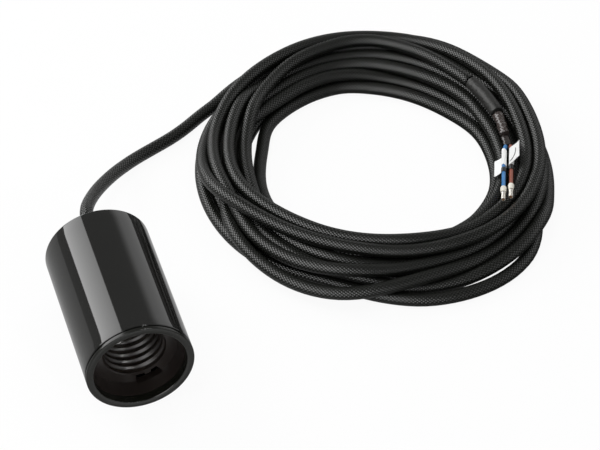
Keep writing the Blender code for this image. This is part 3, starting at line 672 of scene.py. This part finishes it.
@dataclass(frozen=True)
class Threaded(Turned):
    """Socket core: its bore has the round lamp thread, and its ledge has a notch with a tab.

    The notch's angles, in degrees from +X towards the top: its start, the tab's two and its end.
    """

    major: float = 13.4
    minor: float = 12.2
    pitch: float = 3.63
    run_in: float = 1.2
    rows: int = 136
    notch: tuple = (-90.0, -76.0, -66.0, -54.0)
    tab: float = 1.2
    notch_reach: float = 18.7
    cutter_spare: float = 1.0

    def radii(self, angle: np.ndarray) -> np.ndarray:
        """Radius over depth and angle: with c = cos(2 pi depth / pitch + angle), the thread falls from its
        root towards its crest with ((1 - c) / 2) squared, so the crests are narrower than the roots."""
        radius, depth = super().radii(angle), np.array(self.profile)[:, 1:]
        wave = 1 - 2 * ((1 - np.cos(2 * math.pi * depth / self.pitch + angle)) / 2) ** 2
        fade = np.clip(np.minimum(depth - LEDGE_DEPTH, THREAD_BACK - depth) / self.run_in, 0, 1)
        middle, swing = (self.major + self.minor) / 2, (self.major - self.minor) / 2
        threaded = self.major + fade * (middle + swing * wave - self.major)
        return np.where(radius <= self.major, threaded, radius)

    def outline(self) -> list:
        """Notch in the plane across the axis, as x and z of its corners."""
        start, tab_start, tab_end, end = self.notch
        arc = [(COLLAR_RADIUS, a) for a in np.linspace(start, tab_start, 5)]
        arc += [(COLLAR_RADIUS + self.tab, tab_start), (COLLAR_RADIUS + self.tab, tab_end)]
        arc += [(COLLAR_RADIUS, a) for a in np.linspace(tab_end, end, 5)]
        arc += [(self.notch_reach, a) for a in np.linspace(end, start, 16)]
        turned = [(r, math.radians(a)) for r, a in arc]
        return [(r * math.cos(a), AXIS_HEIGHT + r * math.sin(a)) for r, a in turned]

    def trim(self, piece: bpy.types.Object) -> None:
        """Cut the notch through the ledge with an exact boolean, and leave the tab on the collar."""
        outline = self.outline()
        count = len(outline)
        depths = (LEDGE_DEPTH - self.cutter_spare, LEDGE_BACK + self.cutter_spare)
        points = np.array([(x, MOUTH_Y + depth, z) for depth in depths for x, z in outline])
        faces = [[k, (k + 1) % count, count + (k + 1) % count, count + k] for k in range(count)]
        faces += [list(range(count))[::-1], list(range(count, 2 * count))]
        cutter = add_piece("notch_cutter", points, faces)
        cut = piece.modifiers.new("notch", "BOOLEAN")
        cut.operation, cut.solver, cut.object = "DIFFERENCE", "EXACT", cutter
        solved = bpy.data.meshes.new_from_object(piece.evaluated_get(bpy.context.evaluated_depsgraph_get()))
        piece.modifiers.clear()
        piece.data = solved
        bpy.data.objects.remove(cutter, do_unlink=True)
        solved.shade_smooth()
        solved.set_sharp_from_angle(angle=SHARP)


@dataclass(frozen=True)
class Flag:
    """Label film that is wound round a core and leaves it as a flag.

    The flag's outer edge lies along the core from the wound part's by the leans, one at each end. The
    ripple is its height, and its phase across the film and for each millimetre out.
    """

    colour: str
    tilt: float
    width: float
    start: float
    stop: float
    leans: tuple
    curl: float = 320.0
    radius: float = 1.08
    thickness: float = 0.12
    ripple: tuple = (0.10, 2.6, 1.1)
    pen: float = 0.18
    pen_lift: float = 0.06
    pen_step: float = 0.25
    columns: int = 72
    rows: int = 20

    @property
    def wound(self) -> float:
        """Length of the film that is wound round the core."""
        return math.radians(self.curl) * self.radius

    def place(self, share: np.ndarray, across: np.ndarray, lift: object) -> np.ndarray:
        """Lay the film's points.

        Args:
            share: From 0 at the wound start to 1 at the flag's outer edge.
            across: From 0 to 1 along the core.
            lift: Distance off the film's middle.

        Returns:
            World points in millimetres.
        """
        run = share * (self.wound + self.width)
        tilt = math.radians(self.tilt)
        angle = tilt + math.pi / 2 + np.maximum(self.wound - run, 0) / self.radius
        out = np.maximum(run - self.wound, 0)
        height, phase_across, phase_out = self.ripple
        wave = height * np.sin(phase_across * across + phase_out * out) * out / self.width
        radius = self.radius + lift + wave
        unwound = np.clip((run - self.wound / 2) / (self.wound / 2 + self.width), 0, 1)
        lean = np.sin(math.pi / 2 * unwound) * (self.leans[0] * (1 - across) + self.leans[1] * across)
        ahead = self.start + across * (self.stop - self.start) + lean
        return CORE_AXES[self.colour].place(radius * np.cos(angle) + out * math.cos(tilt),
                                            radius * np.sin(angle) + out * math.sin(tilt), ahead)

    def build(self, finish: bpy.types.Material) -> bpy.types.Object:
        """Make the film as a thin closed solid in place of its node."""
        share = np.linspace(0, 1, self.columns)[:, None]
        across = np.linspace(0, 1, self.rows)[None, :]
        upper = self.place(share, across, self.thickness / 2)
        lower = self.place(share, across, -self.thickness / 2)
        ring = np.concatenate([upper, lower[:, ::-1]], axis=1)
        count = 2 * self.rows
        faces = grid_faces(self.columns, count).tolist()
        last = (self.columns - 1) * count
        for k in range(self.rows - 1):
            faces.append([k, k + 1, count - 2 - k, count - 1 - k])
            faces.append([last + count - 1 - k, last + count - 2 - k, last + k + 1, last + k])
        piece = add_piece("film_" + self.colour, ring.reshape(-1, 3), faces)
        return put_in_place(piece, "label_" + self.colour, finish)

    def mark(self, stroke: tuple, finish: bpy.types.Material) -> bpy.types.Object:
        """Thin plain stroke on the flag, through points given as shares of its reach and its length."""
        reach, across = np.array(stroke, float).T
        share = (self.wound + reach * self.width) / (self.wound + self.width)
        path = spaced(self.place(share, across, self.thickness / 2 + self.pen_lift), self.pen_step)
        half = np.full(len(path), self.pen)
        grid = sweep(path, half, half, sides=8)
        piece = closed_tube("stroke_" + self.colour, grid, along(path))
        return put_in_place(piece, "", finish)


@dataclass(frozen=True)
class Lumps:
    """Unevenness: size * sin(round_it * turn + along_it * run + phase) * sin(beat * run + swell)."""

    size: float
    round_it: int
    along_it: float
    phase: float
    beat: float
    swell: float

    def at(self, turn: np.ndarray, run: np.ndarray) -> np.ndarray:
        """Its height at each angle round a sleeve and each millimetre along it."""
        waves = np.sin(self.round_it * turn + self.along_it * run + self.phase)
        return self.size * waves * np.sin(self.beat * run + self.swell)


@dataclass(frozen=True)
class Shrunk:
    """Sleeve shrunk onto the cord's end: an oval section along a route, with lumps and tucked ends.

    The waist is how far its top and bottom sink in between two cores, as a share of its height.
    """

    name: str
    node: str
    slot: Slot
    route: tuple
    height: float
    wide: tuple
    high: tuple
    lump: float
    waist: float = 0.0
    tuck: float = 0.25
    tuck_length: float = 0.5
    waist_width: float = 0.35
    step: float = 0.3
    sides: int = 40
    lumps: tuple = (Lumps(1.0, 3, 1.7, 1.0, 2.3, 0.0), Lumps(0.6, 5, -3.1, 2.0, 0.0, math.pi / 2),
                    Lumps(0.5, 8, 4.7, 0.0, 1.3, math.pi / 2))

    def middle(self, step: float) -> np.ndarray:
        """Points along the sleeve's middle, a step apart."""
        return spaced(np.array([(x, y, self.height) for x, y in self.route]), step)

    def build(self, finish: bpy.types.Material) -> bpy.types.Object:
        """Sweep the sleeve: half width and height through their knots, plus the lumps, less the tuck."""
        path = self.middle(self.step)
        run = along(path)
        knots = np.linspace(0, run[-1], len(self.wide))
        turn = 2 * math.pi * np.arange(self.sides)[None, :] / self.sides
        uneven = self.lump * sum(lumps.at(turn, run[:, None]) for lumps in self.lumps)
        ends = np.minimum(run, run[-1] - run)[:, None]
        uneven -= self.tuck * np.exp(-(ends / self.tuck_length) ** 2)
        groove = 1 - self.waist * np.exp(-(np.cos(turn) / self.waist_width) ** 2)
        wide = through(knots, self.wide, run)[:, None] + uneven
        high = (through(knots, self.high, run)[:, None] + uneven) * groove
        piece = closed_tube(self.name, sweep(path, wide, high, self.sides), run)
        return put_in_place(piece, self.node, finish)


@dataclass(frozen=True)
class Turn:
    """One turn of the coil, clockwise from its north-west, at twelve stations thirty degrees apart.

    The radius is from the coil's centre, in millimetres, and the rank says what lies over what.
    """

    radius: tuple
    rank: tuple


@dataclass
class Cord:
    """The whole cord: out of the holder, down to the floor, round the coil and into its end sleeve.

    Settling, in each round: sink in millimetres, until the late share of the rounds; draw back by a share,
    and by the grip on the held points; and part points that are near a whole number of turns apart.
    """

    centre: tuple = (133.0, 69.0)
    inner_end: float = 18.1
    exit_y: float = 38.8
    straight: tuple = (8.0, 15.0)
    lead: tuple = (
        (0.7, 58, 22.4), (1.6, 61.5, 21.4), (3.4, 66.3, 19.5), (6.4, 72.8, 16.6), (11.3, 81.3, 12.9),
        (16.6, 88.6, 9.8), (22.5, 95.5, 7.0), (27.4, 100.3, 5.0), (32, 104, 3.8), (36.4, 106.7, 3.2),
        (40.7, 108.8, 2.95), (45, 110.7, 2.95), (49.3, 112.5, 2.95), (53.5, 114.5, 2.95),
        (57.7, 116.8, 2.95), (62, 119.5, 2.95), (65.2, 121.7, 2.95),
    )
    coil_start: tuple = (139.9, 85.0)
    first_station: float = 120.0
    station_step: float = 30.0
    turns: tuple = (
        Turn((78, 82.5, 86, 80, 74.9, 74.6, 72.5, 66, 62.5, 65, 74, 74.5),
             (0, 0, 0.4, 1.2, 2.2, 2.2, 2.1, 2.1, 2.1, 2.3, 2.4, 1.2)),
        Turn((72.5, 75, 77, 73, 72.5, 75.2, 76.5, 77.5, 84.5, 79, 67, 66.8),
             (1, 1, 1, 1, 1, 1, 1, 1.1, 1.1, 1.1, 1, 1)),
        Turn((62.2, 64.2, 62.1, 60, 58.4, 60, 60, 59.5, 61.5, 57, 51.2, 50),
             (1, 1, 1, 1, 1, 1, 1, 1, 1, 0.4, 0, 0)),
        Turn((57.7, 56.8, 52.7, 51.6, 55.9, 57.8, 57.5, 56, 56.2, 58.3, 58.8, 59.5), (0,) * 12),
        Turn((61, 61.7, 65, 64.2, 65.8, 68.3, 72, 72.5, 68.2, 70.2, 70.1, 69.8), (0,) * 12),
        Turn((71.2, 72.8, 76.4, 74.5, 71.2, 74.2, 88, 86, 73.5, 75.8, 75.5, 75.3), (0,) * 12),
        Turn((74.6, 77.5, 81, 78, 74, 77.8, 84, 79, 72.5, 66.5, 61.3, 62),
             (0, 0, 0, 0, 0, 0.4, 1, 0.2, 0.8, 1, 1, 1)),
        Turn((57.4, 58.4, 59.2, 58.5, 60.9, 62.8, 63.3, 61.3, 62, 64.2, 64, 64),
             (1, 1, 0.2, 0, 0, 0, 0, 0, 0, 0, 0, 0)),
        Turn((65.6, 67, 70.7, 70, 69.8, 71.5, 72.3, 71, 74.5, 73, 70, 71),
             (0, 0, 0, 0.2, 1, 1, 1, 1, 1.1, 1.4, 1.5, 1.2)),
        Turn((73, 77.8, 81.8, 75, 69, 68.7, 65, 60, 57, 58, 62.5, 64),
             (1.6, 1.2, 1.1, 1.3, 2.0, 2.0, 1.8, 2.0, 2.1, 2.2, 2.2, 1.9)),
        Turn((68, 70, 69.5, 66, 64.1, 65.7, 66, 65, 67.5, 63.5, 57, 57),
             (1, 1, 1, 1, 1, 1, 1, 1, 1.3, 1.5, 1.9, 2)),
    )
    rise: tuple = ((120.0, 63.5, 12.9), (101.0, 69.5, 13.8))
    tail: tuple = ((141, 142.2), (146.5, 142.4), (152, 141.5), (158, 139.4), (164, 135.4), (170, 130.6),
                   (175.6, 124.8), (180.6, 117.6), (184.6, 110.4), (188, 103.8), (190.4, 98.4))
    tail_height: float = 14.02
    lead_step: float = 3.0
    per_turn: int = 144
    layer: float = 5.0
    length: float = 5.0
    sides: int = 20
    held: int = 18
    kept: int = 4
    near: int = 5
    rounds: int = 500
    late: float = 0.75
    sink: float = 0.06
    draw: float = 0.03
    grip: float = 0.3
    crowd: float = 0.4

    def stations(self) -> tuple[np.ndarray, np.ndarray]:
        """Every station of the coil: degrees turned since its start, and radius and height there."""
        turned, values = [0.0], [(self.coil_start[1], FLOOR_HEIGHT)]
        first = self.coil_start[0] - self.first_station
        for number, turn in enumerate(self.turns):
            for k, (radius, rank) in enumerate(zip(turn.radius, turn.rank)):
                turned.append(360.0 * number + first + self.station_step * k)
                values.append((radius, FLOOR_HEIGHT + self.layer * rank))
        whole = 360.0 * len(self.turns) + self.coil_start[0]
        for degrees, radius, height in self.rise:
            turned.append(whole - degrees)
            values.append((radius, height))
        for x, y in self.tail:
            east, north = x - self.centre[0], y - self.centre[1]
            turned.append(whole - math.degrees(math.atan2(north, east)))
            values.append((math.hypot(east, north), self.tail_height))
        return np.array(turned), np.array(values)

    def laid(self) -> np.ndarray:
        """Lay the coil: radius and height read through the stations, turned about the centre."""
        turned, values = self.stations()
        at = np.arange(0.0, turned[-1], 360.0 / self.per_turn)
        radius, height = through(turned, values, at).T
        angle = np.radians(self.coil_start[0] - at)
        return np.stack([self.centre[0] + radius * np.cos(angle), self.centre[1] + radius * np.sin(angle),
                         np.maximum(height, FLOOR_HEIGHT)], axis=1)

    def settle(self, laid: np.ndarray) -> np.ndarray:
        """Let the turns settle: each round pulls them down, draws them back to where they were laid,
        pushes turns apart that are nearer than a cord's thickness, and evens out what it moved."""
        count = len(laid)
        end = np.clip((np.arange(count) - self.per_turn * len(self.turns)) / self.held, 0, 1)[:, None]
        whole = self.per_turn * np.arange(1, len(self.turns) + 1)[:, None]
        shifts = (whole + np.arange(-self.near, self.near + 1)).ravel()
        shifts = shifts[shifts < count].tolist()
        points, fixed = laid.copy(), free_end_room()
        for number in range(self.rounds):
            late = number > self.late * self.rounds
            points[:, 2:] -= (0.0 if late else self.sink) * (1 - end)
            points[:, :2] += self.draw * (laid - points)[:, :2]
            points += self.grip * end * (laid - points)
            for _ in range(2):
                points = self.part(points, shifts)
                points += self.kept_off(points, fixed) * (1 - end)
            points = laid + smooth(points - laid, 1 if late else 3)
            points[:self.kept] = laid[:self.kept]
            points[:, 2] = np.maximum(points[:, 2], FLOOR_HEIGHT)
        return points

    @staticmethod
    def kept_off(points: np.ndarray, fixed: np.ndarray) -> np.ndarray:
        """Moves that take the cord off fixed balls: x, y, z and radius of each."""
        gap = points[:, None] - fixed[None, :, :3]
        distance = np.maximum(np.linalg.norm(gap, axis=2), 0.01)
        lack = CORD_DIAMETER / 2 + fixed[None, :, 3] - distance
        row, worst = np.arange(len(points)), lack.argmax(axis=1)
        push = np.maximum(lack[row, worst], 0) / distance[row, worst]
        return gap[row, worst] * push[:, None]

    def part(self, points: np.ndarray, shifts: list) -> np.ndarray:
        """Push each pair of points that is nearer than a cord's thickness apart, half the lack each."""
        move, met = np.zeros_like(points), np.zeros(len(points))
        for shift in shifts:
            gap = points[shift:] - points[:-shift]
            apart = np.linalg.norm(gap, axis=1)
            lack = np.maximum(CORD_DIAMETER - apart, 0.0)
            push = gap * (0.5 * lack / np.maximum(apart, 1e-6))[:, None]
            move[shift:] += push
            move[:-shift] -= push
            met[shift:] += lack > 0
            met[:-shift] += lack > 0
        points = points + move / np.maximum(1.0, self.crowd * met)[:, None]
        points[:, 2] = np.maximum(points[:, 2], FLOOR_HEIGHT)
        return points

    def path(self) -> np.ndarray:
        """The centreline in millimetres, from inside the holder to the end sleeve."""
        inside = [(0.0, self.inner_end, AXIS_HEIGHT), (0.0, self.exit_y, AXIS_HEIGHT)]
        inside += [(0.0, self.exit_y + reach, AXIS_HEIGHT) for reach in self.straight]
        lead = spaced(np.array(inside + list(self.lead)), self.lead_step)
        coil = self.settle(self.laid())
        return smooth(np.concatenate([lead, coil]), 2)

    def build(self, finish: bpy.types.Material, on_it: list) -> bpy.types.Object:
        path = self.path()
        run = along(path)
        half = np.full(len(path), CORD_DIAMETER / 2)
        cord = closed_tube("braided_cord", sweep(path, half, half, self.sides), run)
        cord.data.materials.append(finish)
        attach(cord, "root")
        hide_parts("cord_end_inside", "cord_lead", "cord_coil", "cord_tail")
        LOG.info("cord: %.3f m, %d points", run[-1] * MM, len(path))
        return cord


FINISHES = {
    "outer_shell": Moulded("shell_lacquer", (0.008, 0.008, 0.007), 0.055, grain=700.0, depth=3e-6, coat=0.3),
    "front_ring": Moulded("ring_gloss", (0.0058, 0.0062, 0.0042), 0.19),
    "socket_core": Moulded("socket_brown", (0.016, 0.0120, 0.0102), 0.31),
    "contact_base": Moulded("base_ivory", (0.55, 0.51, 0.43), 0.45),
    "cord_rest": Moulded("rest_ivory", (0.55, 0.51, 0.43), 0.45),
    "cord_bushing": Moulded("bush_nylon", (0.02, 0.02, 0.02), 0.4),
    "end_sleeve": Moulded("sleeve_black", (0.010, 0.010, 0.009), 0.52, depth=22e-5),
    "clear_sleeve": Moulded("sleeve_smoky", (0.05, 0.038, 0.034), 0.16, grain=1300.0, depth=11e-5, coat=0.5),
    "twin_sleeve": Moulded("sleeve_twin", (0.032, 0.026, 0.024), 0.18, grain=1300.0, depth=9e-5, coat=0.4),
    "core_blue": Moulded("core_blue_sheath", (0.045, 0.19, 0.44), 0.3),
    "core_brown": Moulded("core_brown_sheath", (0.24, 0.062, 0.035), 0.3),
    "ferrule_collar": Moulded("ferrule_white", (0.82, 0.79, 0.70), 0.4),
    "band": Moulded("band_black", (0.006, 0.006, 0.006), 0.3),
    "brass": Metal("contact_brass_drawn", (0.78, 0.58, 0.27), 0.3),
    "zinc": Metal("zinc_plate", (0.70, 0.71, 0.73), 0.32),
    "tinned": Metal("tinned_tube", (0.93, 0.90, 0.83), 0.5, (1.0, 1.0, 0.06)),
    "copper": Metal("copper_strands", (0.80, 0.48, 0.30), 0.35, (1.0, 1.0, 0.06)),
    "label": Film("label_film"),
}
NODES_OF = {
    "contact_base": ("contact_base",),
    "cord_rest": ("cord_rest",),
    "cord_bushing": ("cord_bushing",),
    "brass": ("centre_contact", "side_contact", "centre_rivet", "side_rivet", "terminal_blue",
              "terminal_brown"),
    "zinc": ("terminal_screw_blue", "terminal_screw_brown", "clamp_bar",
             "clamp_screw_left", "clamp_screw_right"),
    "core_blue": ("inner_core_blue", "core_blue"),
    "core_brown": ("inner_core_brown", "core_brown"),
    "copper": ("conductor_blue", "conductor_brown"),
}


def holder_pieces() -> tuple:
    """Shell, mouth ring and threaded core at their full smoothness: profiles of radius and depth."""
    shell_front, shell_inside, exit_hole, edge, lip = 2.1, 69.6, 5.5, 0.9, 0.4
    bore, bead, dish, seam, seam_start, seam_floor = 0.4, 0.55, 0.16, 0.55, 1.0, 1.5
    insert_front, ring_back, skirt_front, skirt_foot = 1.8, 3.6, 3.9, 18.2
    wall_rows = np.linspace(6.0, 66.0, 6)
    shell = [(SHELL_BORE, shell_front), (HOLDER_RADIUS - lip, shell_front)]
    shell += corner(HOLDER_RADIUS - lip, shell_front + lip, lip, -90.0, 0.0)[1:]
    shell += [(HOLDER_RADIUS, depth) for depth in wall_rows]
    shell += corner(HOLDER_RADIUS - edge, HOLDER_LENGTH - edge, edge, 0.0, 90.0)
    shell += [(exit_hole, HOLDER_LENGTH), (exit_hole, shell_inside), (SHELL_BORE, shell_inside)]
    ring = corner(RING_BORE + bore, bore, bore, 180.0, 290.0)
    ring += [(RING_BORE + 2 * bore, dish), (HOLDER_RADIUS - 2 * bead, dish)]
    ring += corner(HOLDER_RADIUS - bead, bead, bead, 250.0, 360.0)
    ring += [(HOLDER_RADIUS, seam_start), (HOLDER_RADIUS - seam, seam_floor),
             (HOLDER_RADIUS - seam, insert_front), (INSERT_RADIUS, insert_front),
             (INSERT_RADIUS, ring_back), (RING_BORE, ring_back)]
    core = [(skirt_foot, LEDGE_DEPTH), (RING_BORE, skirt_front), (INSERT_RADIUS, skirt_front),
            (INSERT_RADIUS, LEDGE_BACK), (COLLAR_RADIUS, LEDGE_BACK), (COLLAR_RADIUS, THREAD_BACK)]
    core += [(Threaded.major, depth) for depth in np.linspace(THREAD_BACK, LEDGE_DEPTH, Threaded.rows)]
    return (Turned("smooth_shell", "outer_shell", Slot.SHELL, tuple(shell)),
            Turned("smooth_ring", "front_ring", Slot.RING, tuple(ring)),
            Threaded("threaded_core", "socket_core", Slot.MOULDING, tuple(core), sides=192))


FLAGS = (Flag("blue", 212.0, 5.4, -0.5, 11.8, (4.4, 3.6)),
         Flag("brown", 52.0, 6.4, 0.0, 13.8, (1.8, 0.1)))
STROKE = ((0.62, 0.30), (0.61, 0.48), (0.52, 0.66), (0.30, 0.80), (0.06, 0.86))
SLEEVES = (
    Shrunk("shrunk_sleeve", "end_sleeve", Slot.SHRINK,
           ((190.72, 97.6), (192.1, 92.7), (193.3, 87.0), (194.1, 81.4), (194.6, 76.8), (194.68, 74.6)),
           14.32, (3.2, 3.2, 3.15, 3.1), (3.2, 3.2, 3.15, 3.1), 0.03),
    Shrunk("lumpy_sleeve", "clear_sleeve", Slot.CLEAR_SLEEVE,
           ((194.68, 74.1), (194.62, 72.1), (194.35, 69.6), (193.95, 66.6), (193.5, 63.4), (193.2, 60.9)),
           13.62, (2.5, 2.4, 2.15, 2.35, 2.0, 2.2), (2.3, 2.4, 2.1, 2.35, 2.0, 1.9), 0.15),
    Shrunk("lumpy_twin_sleeve", "twin_sleeve", Slot.CLEAR_SLEEVE,
           ((193.12, 60.45), (192.8, 57.4), (192.3, 54.5)),
           12.42, (1.9, 1.75, 1.95), (1.3, 1.2, 1.15), 0.09, waist=0.22),
)
CORE_SLEEVES = (
    ("band_sleeve_", "band_", Slot.SHRINK, "band",
     ((0.95, 14.1), (1.16, 14.1), (1.2, 14.4), (1.2, 17.0), (1.16, 17.3), (0.95, 17.3))),
    ("flared_collar_", "ferrule_collar_", Slot.FERRULE, "ferrule_collar",
     ((0.95, 28.8), (1.3, 28.8), (1.38, 29.1), (1.38, 30.6), (1.2, 31.3), (1.16, 32.4), (0.95, 32.4))),
    ("crimped_tube_", "ferrule_tube_", Slot.TINNED, "tinned",
     ((0.72, 32.7), (0.98, 32.7), (0.98, 34.2), (0.92, 34.5), (0.92, 35.4), (0.97, 35.7), (0.97, 37.5),
      (0.93, 37.7), (0.76, 37.7))),
)


def free_end_room() -> np.ndarray:
    """Balls along the sleeves and cores of the free end, which the turns stay off: x, y, z and radius."""
    step, spare, core_length, core_room = 1.5, 0.2, 38.5, 1.6
    runs = [(sleeve.middle(step), max(sleeve.wide) + spare) for sleeve in SLEEVES]
    reach = np.arange(0.0, core_length, step)[:, None]
    runs += [(axis.origin + reach * axis.ahead, core_room) for axis in CORE_AXES.values()]
    return np.concatenate([np.column_stack([path, np.full(len(path), radius)]) for path, radius in runs])


def free_end(made: dict) -> list:
    """Sleeves of the free end, and each core's label, band and ferrule, in place of their plain nodes."""
    pieces = [sleeve.build(made[sleeve.node]) for sleeve in SLEEVES]
    for flag in FLAGS:
        pieces.append(flag.build(made["label"]))
        axis = CORE_AXES[flag.colour]
        for name, node, slot, finish, profile in CORE_SLEEVES:
            piece = Turned(name + flag.colour, node + flag.colour, slot, profile, sides=32, axis=axis)
            pieces.append(piece.build(made[finish]))
    pieces.append(FLAGS[1].mark(STROKE, made["band"]))
    return pieces


def dress_nodes(made: dict) -> None:
    """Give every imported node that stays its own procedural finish."""
    for finish, nodes in NODES_OF.items():
        for node in nodes:
            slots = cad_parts[node].data.materials
            slots.clear()
            slots.append(made[finish])
            LOG.info("node %s: %s", node, finish)


def main() -> None:
    """Build the studio, the finishes, the holder, the free end and the cord, in that order."""
    bpy.context.scene.view_settings.view_transform = "Standard"
    Studio().build()
    made = {name: finish.material() for name, finish in FINISHES.items()}
    for piece in holder_pieces():
        piece.build(made[piece.node])
    Cord().build(Braid("cord_braid").material(), free_end(made))
    dress_nodes(made)


if __name__ == "__main__":
    logging.basicConfig(level=logging.INFO, format="%(name)s %(message)s")
    main()
